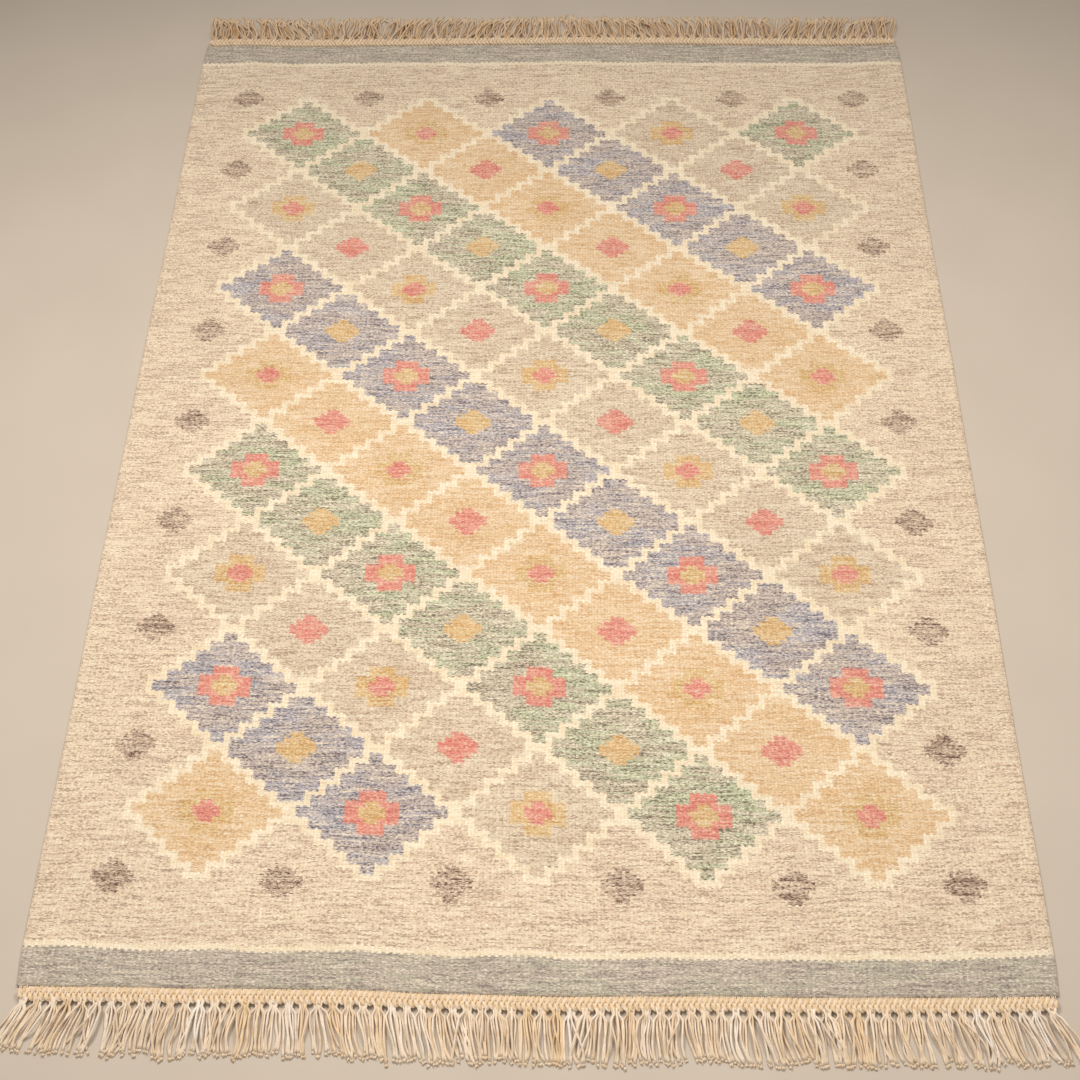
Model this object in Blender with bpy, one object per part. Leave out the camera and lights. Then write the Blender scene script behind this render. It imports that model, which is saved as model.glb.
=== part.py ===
"""A flatwoven wool rug, 1.70 m wide and 2.40 m long without its fringe, lying flat on a floor.

It is built the way the real one is made: one woven cloth, and at each end its warp threads
plaited into a firm edge and then gathered into small bunches that lie loose as a fringe.
Metres, +Z up. +Y runs along the rug from its near end to its far end. The origin is on the
floor, under the middle of the whole outline, fringe included.
"""

import math
import random

import bmesh
import bpy
from mathutils import Vector

# Driving sizes of the cloth.
CLOTH_WIDTH = 1.700
CLOTH_LENGTH = 2.350
CLOTH_THICKNESS = 0.004
SELVEDGE_ROUND = 0.0012
DRAW_IN = 0.003
DRAW_IN_LENGTH = 0.060
SELVEDGE_WANDER = 0.0012
WANDER_FAST = 7.3
WANDER_SLOW = 2.9
WANDER_START = 0.6

# Sizes of the plaited end. Its crest is a level between two places across its width.
PLAIT_SPAN = 1.684
PLAIT_WIDTH = 0.025
PLAIT_HEIGHT = 0.0075
CREST_START = 0.28 * PLAIT_WIDTH
CREST_FINISH = 0.70 * PLAIT_WIDTH
CREST_FALL = 0.0006
STEP_BACK_AT_GAPS = 0.002
SEAM_GAP = 0.0003

# Sizes of the fringe. A bunch leaves the plait as one neck, which parts into two locks.
BUNCHES = 70
BUNCH_PITCH = PLAIT_SPAN / BUNCHES
NECK_HALF_WIDTH = 0.0060
NECK_FLARE = 0.0004
NECK_LENGTH = 0.006
NECK_HEIGHT = 0.0034
PARTING = 0.0005
LOCK_WIDTH = 0.0064
LOCK_TOP_SHARE = 0.6
LOCK_ROOT_SPREAD = 0.0034
LOCK_SPREAD = BUNCH_PITCH / 4
LOCK_SPREAD_BY = 0.6
LEAN_BEND = 1.3
FRINGE_LENGTH = 0.084
LENGTH_SPREAD = 0.004
TIP_JITTER = 0.0010
RANDOM_SEED = 7

# Stations of a lock past its root: (share of its run, share of its full width, height).
LOCK_STATIONS = (
    (0.34, 0.92, 0.0032),
    (0.68, 1.00, 0.0030),
    (1.00, 1.00, 0.0022),
)

# Steps of the modelled outline.
END_STEPS = 34
SIDE_STEPS = 26

# Each end: which way is out along Y, how far its middle bows out, and how its fringe leans.
# A row of a lean table is (place across the rug from -1 to 1, sideways shift of the tips).
ENDS = {
    "front": {
        "out": -1,
        "bow": 0.006,
        "lean": (
            (-1.00, -0.034),
            (-0.93, -0.022),
            (-0.80, -0.010),
            (-0.66, -0.012),
            (-0.52, -0.002),
            (-0.36, 0.016),
            (-0.18, 0.018),
            (0.02, 0.004),
            (0.16, -0.004),
            (0.34, 0.010),
            (0.52, 0.016),
            (0.64, 0.002),
            (0.80, 0.018),
            (0.92, 0.024),
            (1.00, 0.032),
        ),
    },
    "back": {
        "out": 1,
        "bow": 0.002,
        "lean": (
            (-1.00, -0.010),
            (-0.86, -0.024),
            (-0.72, -0.030),
            (-0.60, 0.004),
            (-0.40, 0.016),
            (-0.18, 0.026),
            (0.00, 0.006),
            (0.14, -0.018),
            (0.34, -0.020),
            (0.50, -0.006),
            (0.66, 0.016),
            (0.84, 0.024),
            (1.00, 0.018),
        ),
    },
}

WOOL = {"color": (0.62, 0.53, 0.42, 1.0), "roughness": 0.95}
WARP = {"color": (0.74, 0.63, 0.47, 1.0), "roughness": 0.90}


def clear_scene():
    """Removes whatever the startup file holds."""
    for obj in list(bpy.data.objects):
        bpy.data.objects.remove(obj, do_unlink=True)


def material(name, color, roughness):
    """A plain Principled material in the part's own colour."""
    made = bpy.data.materials.new(name)
    made.use_nodes = True
    shader = made.node_tree.nodes["Principled BSDF"]
    shader.inputs["Base Color"].default_value = color
    shader.inputs["Roughness"].default_value = roughness
    shader.inputs["Metallic"].default_value = 0.0
    return made


def smoothstep(share):
    """Eases from 0 to 1 as share goes from 0 to 1."""
    share = min(1.0, max(0.0, share))
    return share * share * (3.0 - 2.0 * share)


def read_table(table, place):
    """The value of a two-column table at a place, eased between its rows."""
    if place <= table[0][0]:
        return table[0][1]
    for (low, first), (high, second) in zip(table, table[1:]):
        if place <= high:
            return first + (second - first) * smoothstep((place - low) / (high - low))
    return table[-1][1]


def end_line(x, end):
    """How far along Y, from the rug's middle, the woven cloth ends at x."""
    across = 2.0 * x / CLOTH_WIDTH
    bow = end["bow"] * (1.0 - across * across)
    return end["out"] * (CLOTH_LENGTH / 2 + bow)


def side_line(y):
    """Half the cloth's width at y: it wanders a little and draws in at both ends."""
    to_end = CLOTH_LENGTH / 2 - abs(y)
    drawn = DRAW_IN * (1.0 - smoothstep(to_end / DRAW_IN_LENGTH))
    wander = SELVEDGE_WANDER * math.sin(WANDER_FAST * y + WANDER_START) * math.sin(WANDER_SLOW * y)
    return CLOTH_WIDTH / 2 - drawn + wander


def cloth_outline():
    """Points round the cloth's edge, anticlockwise from the near left corner."""
    points = []
    corner = side_line(CLOTH_LENGTH / 2)
    for step in range(END_STEPS):
        x = -corner + 2.0 * corner * step / END_STEPS
        points.append(Vector((x, end_line(x, ENDS["front"]), 0.0)))
    near = end_line(corner, ENDS["front"])
    far = end_line(corner, ENDS["back"])
    for step in range(SIDE_STEPS):
        y = near + (far - near) * step / SIDE_STEPS
        points.append(Vector((side_line(y), y, 0.0)))
    for step in range(END_STEPS):
        x = corner - 2.0 * corner * step / END_STEPS
        points.append(Vector((x, end_line(x, ENDS["back"]), 0.0)))
    for step in range(SIDE_STEPS):
        y = far + (near - far) * step / SIDE_STEPS
        points.append(Vector((-side_line(y), y, 0.0)))
    return points


def inset(points, distance):
    """The outline moved straight in by distance on each side."""
    half_length = CLOTH_LENGTH / 2
    moved = []
    for point in points:
        x = point.x * (1.0 - 2.0 * distance / CLOTH_WIDTH)
        y = point.y * (1.0 - distance / half_length)
        moved.append(Vector((x, y, 0.0)))
    return moved


def add_object(name, mesh_data, look):
    """Closes a bmesh into a named, smooth-shaded object."""
    bmesh.ops.recalc_face_normals(mesh_data, faces=mesh_data.faces)
    mesh = bpy.data.meshes.new(name)
    mesh_data.to_mesh(mesh)
    mesh_data.free()
    mesh.materials.append(look)
    mesh.shade_smooth()
    mesh.set_sharp_from_angle(angle=math.radians(40.0))
    obj = bpy.data.objects.new(name, mesh)
    bpy.context.scene.collection.objects.link(obj)
    return obj


def build_cloth(look):
    """The woven body: one flat sheet with rounded selvedges."""
    outline = cloth_outline()
    levels = (
        (0.0, SELVEDGE_ROUND),
        (SELVEDGE_ROUND, 0.0),
        (CLOTH_THICKNESS - SELVEDGE_ROUND, 0.0),
        (CLOTH_THICKNESS, SELVEDGE_ROUND),
    )
    data = bmesh.new()
    rings = []
    for height, distance in levels:
        ring = [data.verts.new((p.x, p.y, height)) for p in inset(outline, distance)]
        rings.append(ring)
    count = len(outline)
    for lower, upper in zip(rings, rings[1:]):
        for i in range(count):
            j = (i + 1) % count
            data.faces.new((lower[i], lower[j], upper[j], upper[i]))
    data.faces.new(rings[0][::-1])
    data.faces.new(rings[-1])
    return add_object("rug_cloth", data, look)


def plait_columns():
    """Places across the plait: (x, what runs from there to the next: a gap, a neck or the end)."""
    columns = []
    for bunch in range(BUNCHES):
        start = -PLAIT_SPAN / 2 + bunch * BUNCH_PITCH
        middle = start + BUNCH_PITCH / 2
        columns.append((start, "gap"))
        columns.append((middle - NECK_HALF_WIDTH, "neck"))
        columns.append((middle + NECK_HALF_WIDTH, "gap"))
    columns.append((PLAIT_SPAN / 2, "end"))
    return columns


def plait_profile(at_neck):
    """The plait's section: (distance out from the cloth, height), floor points first and last."""
    edge = PLAIT_WIDTH if at_neck else PLAIT_WIDTH - STEP_BACK_AT_GAPS
    return (
        (0.0, 0.0),
        (0.0, CLOTH_THICKNESS),
        (CREST_START, PLAIT_HEIGHT),
        (CREST_FINISH, PLAIT_HEIGHT - CREST_FALL),
        (edge, NECK_HEIGHT),
        (edge, 0.0),
    )


def along(x, distance, end):
    """The Y of a point that lies that far out from the seam with the cloth, at x."""
    return end_line(x, end) + end["out"] * (SEAM_GAP + distance)


def lock_path(middle, side, reach, shift):
    """Stations of one lock: (x, distance out from the cloth, width, height)."""
    start = PLAIT_WIDTH + NECK_LENGTH
    run = reach - NECK_LENGTH
    stations = []
    for share, width_share, height in LOCK_STATIONS:
        parted = smoothstep(share / LOCK_SPREAD_BY)
        spread = LOCK_ROOT_SPREAD + (LOCK_SPREAD - LOCK_ROOT_SPREAD) * parted
        x = middle + side * spread + shift * share**LEAN_BEND
        stations.append((x, start + run * share, LOCK_WIDTH * width_share, height))
    return stations


def add_lock(data, root, stations, end):
    """Draws one lock out from its four root points, flat along the floor."""
    ring = root
    for x, distance, width, height in stations:
        half = width / 2
        y = along(x, distance, end)
        top = half * LOCK_TOP_SHARE
        corners = ((x - half, 0.0), (x + half, 0.0), (x + top, height), (x - top, height))
        following = [data.verts.new((cx, y, cz)) for cx, cz in corners]
        for i in range(4):
            j = (i + 1) % 4
            data.faces.new((ring[i], ring[j], following[j], following[i]))
        ring = following
    data.faces.new(ring)


def add_bunch(data, left, right, middle, end, chance):
    """A neck from the plait's edge at left and right, then its two locks."""
    distance = PLAIT_WIDTH + NECK_LENGTH
    half = NECK_HALF_WIDTH + NECK_FLARE
    places = (-half, -PARTING, PARTING, half)
    low = []
    high = []
    for place in places:
        x = middle + place
        y = along(x, distance, end)
        low.append(data.verts.new((x, y, 0.0)))
        high.append(data.verts.new((x, y, NECK_HEIGHT)))
    (left_low, left_high), (right_low, right_high) = left, right
    data.faces.new((left_low, left_high, high[0], low[0]))
    data.faces.new((right_low, right_high, high[3], low[3]))
    data.faces.new((left_high, *high, right_high))
    data.faces.new((left_low, *low, right_low))
    data.faces.new((low[1], high[1], high[2], low[2]))
    lean = read_table(end["lean"], 2.0 * middle / PLAIT_SPAN)
    reach = FRINGE_LENGTH + chance.uniform(-LENGTH_SPREAD, LENGTH_SPREAD)
    for side, first in ((-1, 0), (1, 2)):
        root = [low[first], low[first + 1], high[first + 1], high[first]]
        shift = lean + chance.uniform(-TIP_JITTER, TIP_JITTER)
        add_lock(data, root, lock_path(middle, side, reach, shift), end)


def build_fringe(name, end, look):
    """One plaited end with its bunches of warp threads, as a single solid."""
    chance = random.Random(RANDOM_SEED + end["out"])
    columns = plait_columns()
    data = bmesh.new()
    sections = []
    for index, (x, _) in enumerate(columns):
        at_neck = index % 3 != 0
        profile = plait_profile(at_neck)
        section = [data.verts.new((x, along(x, out, end), z)) for out, z in profile]
        sections.append(section)
    last = len(plait_profile(True)) - 1
    for index, (first, second) in enumerate(zip(sections, sections[1:])):
        for i in range(last + 1):
            if i == last - 1 and columns[index][1] == "neck":
                continue
            j = (i + 1) % (last + 1)
            data.faces.new((first[i], second[i], second[j], first[j]))
    data.faces.new(sections[0])
    data.faces.new(sections[-1])
    for index, (x, kind) in enumerate(columns):
        if kind != "neck":
            continue
        left = (sections[index][last], sections[index][last - 1])
        right = (sections[index + 1][last], sections[index + 1][last - 1])
        add_bunch(data, left, right, x + NECK_HALF_WIDTH, end, chance)
    return add_object(name, data, look)


def centre_on_origin(objects):
    """Moves every mesh together so that the origin is under the middle of the outline."""
    corners = [v.co for obj in objects for v in obj.data.vertices]
    middle_x = (min(c.x for c in corners) + max(c.x for c in corners)) / 2
    middle_y = (min(c.y for c in corners) + max(c.y for c in corners)) / 2
    for obj in objects:
        for vertex in obj.data.vertices:
            vertex.co.x -= middle_x
            vertex.co.y -= middle_y


def main():
    clear_scene()
    wool = material("wool_weave", **WOOL)
    warp = material("cotton_warp", **WARP)
    objects = [build_cloth(wool)]
    for side, end in ENDS.items():
        objects.append(build_fringe("plaited_fringe_" + side, end, warp))
    centre_on_origin(objects)


main()
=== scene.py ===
"""The looks of a flatwoven wool rug: its woven cloth, plaited ends and loose fringe.

Metres, +Z up, +Y from the rug's near end to its far end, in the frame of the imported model.
"""

import math
import random

import bpy
import numpy as np
from mathutils import Matrix, Vector


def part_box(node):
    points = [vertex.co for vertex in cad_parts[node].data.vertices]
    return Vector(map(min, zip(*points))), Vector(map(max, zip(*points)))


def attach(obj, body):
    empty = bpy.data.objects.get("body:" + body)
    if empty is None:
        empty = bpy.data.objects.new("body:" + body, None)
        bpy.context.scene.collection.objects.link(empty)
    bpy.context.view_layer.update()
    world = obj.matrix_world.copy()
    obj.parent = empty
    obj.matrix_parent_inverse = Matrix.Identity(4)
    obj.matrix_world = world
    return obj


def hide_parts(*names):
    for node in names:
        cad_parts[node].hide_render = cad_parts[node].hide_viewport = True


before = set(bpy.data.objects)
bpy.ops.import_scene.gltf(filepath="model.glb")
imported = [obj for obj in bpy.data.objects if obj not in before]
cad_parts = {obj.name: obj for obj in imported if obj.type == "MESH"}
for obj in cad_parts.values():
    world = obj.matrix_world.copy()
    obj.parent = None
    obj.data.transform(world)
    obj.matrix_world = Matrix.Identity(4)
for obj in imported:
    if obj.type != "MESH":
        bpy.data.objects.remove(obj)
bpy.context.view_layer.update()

# Sizes of the solids that the pieces below stand for.
CLOTH_WIDTH = 1.700
CLOTH_LENGTH = 2.350
CLOTH_THICKNESS = 0.004
SELVEDGE_ROUND = 0.0012
DRAW_IN = 0.003
DRAW_IN_LENGTH = 0.060
SELVEDGE_WANDER = 0.0012
SELVEDGE_WAVES = (7.3, 2.9)
SELVEDGE_START = 0.6
PLAIT_SPAN = 1.684
PLAIT_WIDTH = 0.025
SEAM_GAP = 0.0003
BUNCHES = 70
BUNCH_PITCH = PLAIT_SPAN / BUNCHES
FRINGE_LENGTH = 0.084

# The weave: four ribs to a bunch of the fringe, and the weft packed over them in beads.
RIB_PITCH = BUNCH_PITCH / 4
BEAD_HEIGHT = 0.0018
BEAD_FULLNESS_ACROSS = 0.28
BEAD_FULLNESS_ALONG = 0.7
TOOTH_DEPTH = 0.0018
EDGE_TEETH = 0.0036
WEFT_WAVER = 0.0060
LANE_STEP = 1.7

# Bands at the two ends, and the cream line inside each.
FRONT_BAND = 0.0675
BACK_BAND = 0.0606
CREAM_LINE = 0.011

# The lattice of stepped lozenges. A lozenge is 12 steps wide and 12 steps high.
STEP_X = BUNCH_PITCH
STEP_Y = 0.0205
HALF = 6
COLUMNS = 5
ROWS = 8
OUTLINE_X = 2 * RIB_PITCH
OUTLINE_Y = 0.0096
HEART_RINGS = 1
SMALL_LOZENGE_RINGS = 2
MARGIN_STEPS = 2.0

# The heather. Sizes are in metres, and a lane is one row or pick. A range says where a mark
# begins to show and where it is full.
WAVER_SIZE = (0.075, 0.110)
PATCH_SIZE = (0.150, 0.050)
CLOUD_SIZE = (0.30, 0.24)
FUZZ_SIZE = (0.0009, 0.0006)
LANE_SIZE = 1.0
DASH_LENGTH = 0.0058
DASH_SHARE = 0.43
DOTTED_LENGTH = 0.045
DOTTED_SHARE = 0.22
LINE_LENGTH = 0.050
LINE_SHARE = 0.35
LONG_LINE_LENGTH = 0.085
LONG_LINE_SHARE = 0.5
PATCH_SHARE = 0.5
DARK_RANGE = (0.505, 0.625)
NOT_LIGHT_RANGE = (0.375, 0.485)
STREAK_RANGE = (0.46, 0.58)
STREAK_STRENGTH = 0.75
LIGHT_STRENGTH = 0.85

# Steps along a row that keep one noise from following another.
JITTER_STEP = 3.0
DOTTED_STEP = 5.0
LINE_STEP = 9.0
LONG_LINE_STEP = 13.0

# Shading: what a value adds at its full, and the shade where it is nothing. Pillow and ply give painted
# shade in the grooves; grain, cloud and fibre vary the tone at random.
PILLOW_SHADE = (0.26, 0.80)
GRAIN_SHADE = (0.14, 0.95)
CLOUD_SHADE = (0.10, 0.95)
PLY_SHADE = (0.22, 0.82)
FIBRE_SHADE = (0.24, 0.88)

# Warp yarn as it shows on a screen, 0 to 255, and the sizes of its marks in metres.
FRESH_WARP = (255, 245, 234)
STRAW_WARP = (250, 219, 172)
WORN_WARP = (214, 186, 150)
# The aged colour browns the older cords, and at its full it is the plait core's painted shade in the
# holes.
AGED_AND_CORE_SHADE_WARP = (212, 170, 118)
FRAYED_WARP = (240, 214, 182)
PLY_LENGTH = 0.0042
PLY_FULLNESS = 0.7
PLY_CREST = 0.25
FIBRE_SIZE = (0.0018, 0.22)
WEAR_SIZE = (0.020, 0.31)
WEAR_STEP = 3.0
WEAR_RANGE = (0.45, 0.70)
WEAR_STRENGTH = 0.5

# Grid of the cloth's mesh.
CLOTH_COLUMNS = 168
CLOTH_ROWS = 232

# Waves in the cloth: radians to a metre across and along, and where they start.
ROW_WAVE = (9.0, 2.3, 0.7)
ROW_SWELL = (0.0, 3.1, 0.4)
ROW_WAVE_DEPTH = 0.0022
SLANT_WAVE = (21.0, -4.0, 0.0)
SLANT_WAVE_DEPTH = 0.0012
SIDE_WAVE = (3.0, 5.0, 0.0)
SIDE_WAVE_DEPTH = 0.0010
WAVE_FADE = 0.12
BAND_FADE = 0.35
RIPPLE_ACROSS = (6.1, 0.0, 1.3)
RIPPLE_ALONG = (0.0, 4.7, 0.5)
SLANT_RIPPLE = (13.0, -6.0, 0.0)
SLANT_RIPPLE_SHARE = 0.6
RIPPLE_HEIGHT = 0.0004
PUCKER = (31.0, 0.0, 0.8)
PUCKER_HEIGHT = 0.0009
PUCKER_REACH = 0.10

# The plait is three strands of side-by-side threads.
PLAIT_STRANDS = 3
PLAIT_REPEAT = 1.125 * BUNCH_PITCH
THREADS = 4
THREAD_RADIUS = 0.00125
THREAD_SPACING = 0.00210
STRAND_HALF_WIDTH = (THREADS - 1) / 2 * THREAD_SPACING + THREAD_RADIUS
PLAIT_LEVEL = 0.0048
PLAIT_LIFT = 0.0019
PLAIT_PULL = 0.30
SLOW_PULL = 23.0
FAST_PULL = 61.0
FAST_PULL_SHARE = 0.6
FAST_PULL_START = 1.0
PLAIT_CORNER = 0.018
PLAIT_CORNER_SHARE = 0.45
PLAIT_TONE = 0.60
PLAIT_TONE_SPREAD = 0.28
PLAIT_SAMPLES = 16
PLAIT_SIDES = 6
THREAD_CROWN = 0.0004
CORE_HALF_WIDTH = 0.0100
CORE_HALF_HEIGHT = 0.0012
CORE_LEVEL = 0.0032
CORE_STEP = 0.012
CORE_MARGIN = 0.006
CORE_SIDES = 10
# The core's yarn takes the full straw and aged colour: a dark brown that is painted shade in the plait's
# holes.
CORE_HOLE_SHADE_YARN = (1.0, 0.0, 1.0)

# Stubs of warp between the last weft and the plait.
STUB_PITCH = RIB_PITCH / 2
STUB_SLANT = 0.0012
STUB_RADIUS = 0.00115
STUB_SIDES = 5
STUB_YARN = (0.35, 0.0, 0.2)
STUB_PATH = (
    # distance out from the cloth's end, share of the slant, level
    (-0.0030, 0.0, 0.0022),
    (0.0012, 0.4, 0.0027),
    (0.0060, 1.0, 0.0030),
)

# The cords of the fringe.
CORDS = 6
CORD_RADIUS = 0.00178
THINNEST = 0.86
THICKEST = 1.12
CORD_STATIONS = 17
STATION_POWER = 1.25
CORD_SIDES = 8
CORD_FLARE = 0.30
CORD_FLATTEN = 0.45
CORD_FLARE_START = 0.70
CORD_TIP = 0.5
CORD_INSIDE = 0.006
LEAN_POWER = 1.25
LEAN_SHORTENING = 0.45
ROOT_HALF_WIDTH = 0.0064
NECK_HALF_WIDTH = 0.0043
NECK_LENGTH = 0.0030
FAN_START = 0.0034
FAN_LENGTH = 0.012
FAN_HALF_WIDTH = 0.0114
GATHER_STEP = 0.001
NECK_GAP = 0.0016
NECK_LAYER = 0.0020
REST_LAYER = 0.0026
SETTLE_START = 0.55
SETTLE_SPAN = 0.45
RISE_SPEED = 1.1
RISE_LOSS = 0.2

# How bunches and cords differ by chance: a spread, or the least and the most.
BUNCH_SPREAD = 0.0008
BUNCH_LEAN_SPREAD = 0.003
BUNCH_LENGTH_SPREAD = 0.0028
BUNCH_TONE = 0.38
BUNCH_TONE_SPREAD = 0.20
TIP_SPREADS = (0.45, 0.8, 1.0, 1.2)
RAISED_CORDS = 2
CORD_PLACE_SPREAD = 0.08
CORD_LEAN_SPREAD = 0.0024
CORD_LENGTH_SPREAD = 0.0024
CORD_TONE_SPREAD = 0.25
CORD_AGE_RANGE = (-0.1, 0.25)
NEAR_BEND_SHARE = 0.6
FAR_BEND_SHARE = 0.5
STRAY_LEAN_RANGE = (0.010, 0.026)
STRAY_LAYER = 1.6

# The brushed fibres at a cord's end.
FRAY_FIBRES = 5
FRAY_SIDES = 5
FRAY_LENGTH = 0.0080
FRAY_LENGTH_RANGE = (0.50, 1.05)
FRAY_SHORTENING = 0.5
FRAY_TWIST = 0.12
FRAY_SCATTER = 0.0002
FRAY_OVERLAP = 0.0040
FRAY_ROOT_SPREAD = 0.7
FRAY_END_RANGE = (0.95, 1.35)
FRAY_LEVEL_RANGE = (0.0004, 0.0009)
FRAY_MIDDLE = 0.4
FRAY_MIDDLE_LEVEL = 0.0010
FRAY_RADII = (0.00030, 0.00072, 0.00022)
FRAY_TIPS = (0.5, 0.6, 0.7)

# Seeds of chance. Each end adds its own way out, -1 or 1.
FRINGE_SEED = 11
PLAIT_SEED = 33

# Each end: which way is out along Y, how far its middle bows out, how its edge wavers, how the
# edge of its band wavers, and how its fringe leans. A row is (place across from -1 to 1, shift).
ENDS = {
    "front": {
        "out": -1,
        "bow": 0.006,
        "edge": (
            (-1.00, 0.0000),
            (-0.75, -0.0015),
            (-0.38, -0.0035),
            (-0.16, 0.0010),
            (0.06, 0.0030),
            (0.30, 0.0010),
            (0.58, 0.0028),
            (0.86, 0.0026),
            (1.00, 0.0000),
        ),
        "band": (
            (-1.00, 0.0000),
            (-0.90, 0.0005),
            (-0.76, 0.0062),
            (-0.64, 0.0020),
            (-0.52, 0.0086),
            (-0.36, 0.0020),
            (-0.16, 0.0130),
            (-0.03, 0.0085),
            (0.12, 0.0150),
            (0.30, 0.0110),
            (0.52, 0.0128),
            (0.76, 0.0098),
            (0.90, 0.0060),
            (1.00, 0.0000),
        ),
        "lean": (
            (-1.00, -0.034),
            (-0.93, -0.022),
            (-0.80, -0.010),
            (-0.66, -0.012),
            (-0.52, -0.002),
            (-0.36, 0.016),
            (-0.18, 0.018),
            (0.02, 0.004),
            (0.16, -0.004),
            (0.34, 0.010),
            (0.52, 0.016),
            (0.64, 0.002),
            (0.80, 0.018),
            (0.92, 0.024),
            (1.00, 0.032),
        ),
        "curl": 0.0052,
        "rise": 0.0020,
        "stray": 0.13,
        "age": 0.0,
    },
    "back": {
        "out": 1,
        "bow": 0.002,
        "edge": (
            (-1.00, 0.0000),
            (-0.88, 0.0020),
            (-0.74, -0.0030),
            (-0.50, -0.0015),
            (-0.10, 0.0020),
            (0.08, 0.0030),
            (0.30, 0.0020),
            (0.60, -0.0020),
            (0.78, -0.0040),
            (1.00, 0.0000),
        ),
        "band": (
            (-1.00, 0.0000),
            (-0.86, 0.0026),
            (-0.72, -0.0050),
            (-0.50, -0.0010),
            (-0.10, 0.0010),
            (0.10, 0.0030),
            (0.20, -0.0010),
            (0.50, -0.0030),
            (0.76, -0.0060),
            (1.00, 0.0000),
        ),
        "lean": (
            (-1.00, -0.010),
            (-0.86, -0.024),
            (-0.72, -0.030),
            (-0.60, 0.004),
            (-0.40, 0.016),
            (-0.18, 0.026),
            (0.00, 0.006),
            (0.14, -0.018),
            (0.34, -0.020),
            (0.50, -0.006),
            (0.66, 0.016),
            (0.84, 0.024),
            (1.00, 0.018),
        ),
        "curl": 0.0085,
        "rise": 0.0050,
        "stray": 0.18,
        "age": 0.45,
    },
}

# Colours as they show on a screen, 0 to 255, each with its three mixed-in yarns.
YARNS = (
    # name, body, dark speck, light speck, long streak
    ("field", (240, 218, 190), (182, 159, 139), (252, 240, 215), (228, 203, 177)),
    ("cream", (254, 238, 211), (234, 212, 178), (252, 245, 222), (246, 226, 194)),
    ("blue", (198, 183, 174), (118, 108, 114), (246, 231, 210), (177, 177, 190)),
    ("beige", (229, 210, 184), (178, 153, 131), (244, 232, 210), (220, 197, 170)),
    ("green", (206, 192, 170), (126, 114, 98), (248, 240, 216), (190, 202, 164)),
    ("yellow", (237, 208, 169), (210, 170, 125), (247, 230, 206), (231, 194, 147)),
    ("coral", (230, 160, 143), (205, 118, 107), (243, 205, 183), (231, 146, 131)),
    ("ochre", (227, 196, 148), (200, 155, 99), (241, 225, 193), (226, 186, 129)),
    ("taupe", (208, 183, 161), (106, 82, 71), (246, 228, 202), (170, 145, 126)),
    ("band", (196, 183, 168), (150, 138, 132), (238, 224, 206), (190, 187, 165)),
)
FIELD, CREAM, BLUE, BEIGE, GREEN, YELLOW, CORAL, OCHRE, TAUPE, BAND = range(len(YARNS))
BODY_SHADES = 4


# Places in the cloth.
def clamp(value):
    """The value kept between 0 and 1."""
    return min(1.0, max(0.0, value))


def smoothstep(share):
    """Eases from 0 to 1 as share goes from 0 to 1. Takes arrays too."""
    share = np.clip(share, 0.0, 1.0)
    return share * share * (3.0 - 2.0 * share)


def read_table(table, place):
    """The value of a two-column table at a place, eased between its rows."""
    for (low, first), (high, second) in zip(table, table[1:]):
        if place <= high:
            return first + (second - first) * smoothstep((place - low) / (high - low))
    return table[-1][1]


def end_line(x, end):
    """How far along Y, from the rug's middle, the cloth ends at x."""
    across = 2.0 * x / CLOTH_WIDTH
    bow = end["bow"] * (1.0 - across * across)
    return end["out"] * (CLOTH_LENGTH / 2 + bow + read_table(end["edge"], across))


def side_line(y):
    """Half the cloth's width at y: it wanders a little and draws in at both ends."""
    to_end = CLOTH_LENGTH / 2 - abs(y)
    drawn = DRAW_IN * (1.0 - smoothstep(to_end / DRAW_IN_LENGTH))
    fast, slow = SELVEDGE_WAVES
    wander = SELVEDGE_WANDER * math.sin(fast * y + SELVEDGE_START) * math.sin(slow * y)
    return CLOTH_WIDTH / 2 - drawn + wander


def rug_middle():
    """Where the middle of the cloth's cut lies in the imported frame."""
    low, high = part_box("rug_cloth")
    front_bow = ENDS["front"]["bow"]
    return Vector(((low.x + high.x) / 2, low.y + CLOTH_LENGTH / 2 + front_bow, 0.0))


MIDDLE = rug_middle()


# Node materials.
def linear(color):
    """Screen values from 0 to 255 as a linear colour with alpha."""
    made = []
    for value in color:
        share = value / 255.0
        low = share <= 0.04045
        made.append(share / 12.92 if low else ((share + 0.055) / 1.055) ** 2.4)
    return (*made, 1.0)


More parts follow.
